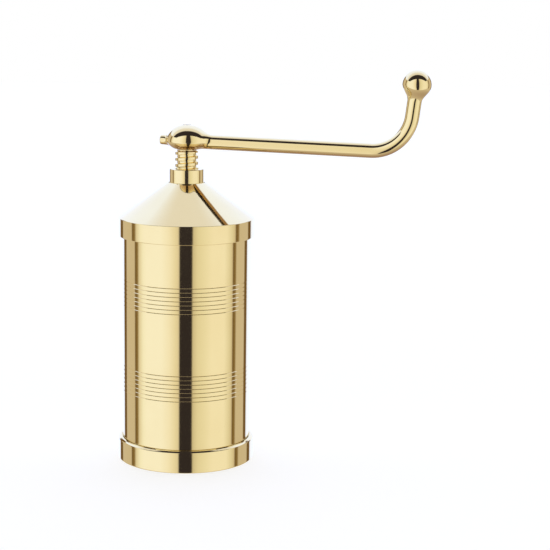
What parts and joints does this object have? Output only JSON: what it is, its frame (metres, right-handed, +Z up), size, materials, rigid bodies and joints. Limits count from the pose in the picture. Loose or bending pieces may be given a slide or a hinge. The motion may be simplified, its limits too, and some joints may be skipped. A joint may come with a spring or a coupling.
{
  "type": "sev press",
  "caption": "Hand-cranked brass sev press: cylindrical barrel, conical screw cap, threaded spindle with a ball-ended crank, cupped piston and a screwed die ring.",
  "frame": {"origin": "centre of the die's underside, on the press axis; the foot is 1.5 mm lower", "axes": "+Z up along the press axis, +X to the right of the picture, -Y towards its viewer; the crank rests 13 degrees from +X towards -Y"},
  "size_m": [0.1517, 0.0684, 0.1982],
  "materials": {
    "barrel": "polished",
    "top_cap": "polished",
    "screw_bush": "polished",
    "spindle": "polished",
    "crank_handle": "polished",
    "piston_plate": "satin",
    "thrust_washer": "satin",
    "keeper_washer": "satin",
    "retaining_screw": "satin",
    "die_disc": "satin",
    "die_ring": "polished"
  },
  "bodies": {
    "barrel": {"barrel": "barrel"},
    "die": {"die_disc": "die_disc"},
    "ring": {"die_ring": "die_ring"},
    "bush": {"screw_bush": "screw_bush"},
    "cap": {"top_cap": "top_cap"},
    "piston": {"piston_plate": "piston_plate"},
    "crank": {"spindle": "spindle", "crank_handle": "crank_handle", "thrust_washer": "thrust_washer", "keeper_washer": "keeper_washer", "retaining_screw": "retaining_screw"}
  },
  "joints": [
    {"name": "die_drop", "type": "slide", "parent": "barrel", "child": "die", "axis": [0, 0, 1], "range_m": [-0.006, 0]},
    {"name": "ring_turn", "type": "hinge", "parent": "die", "child": "ring", "pos_m": [0, 0, 0], "axis": [0, 0, 1], "range_deg": [-1080, 0]},
    {"name": "cap_rise", "type": "slide", "parent": "barrel", "child": "bush", "axis": [0, 0, 1], "range_m": [0, 0.006]},
    {"name": "cap_turn", "type": "hinge", "parent": "bush", "child": "cap", "pos_m": [0, 0, 0.12], "axis": [0, 0, 1], "range_deg": [0, 1080]},
    {"name": "piston_travel", "type": "slide", "parent": "bush", "child": "piston", "axis": [0, 0, 1], "range_m": [-0.0093, 0.102]},
    {"name": "crank_turn", "type": "hinge", "parent": "piston", "child": "crank", "pos_m": [0, 0, 0.15], "axis": [0, 0, 1], "range_deg": [-1116, 12240]}
  ],
  "couplings": [
    {"joint": "die_drop", "follows": "ring_turn", "m_per_rad": 0.00031831},
    {"joint": "cap_rise", "follows": "cap_turn", "m_per_rad": 0.00031831},
    {"joint": "piston_travel", "follows": "crank_turn", "m_per_rad": 0.00047746}
  ]
}
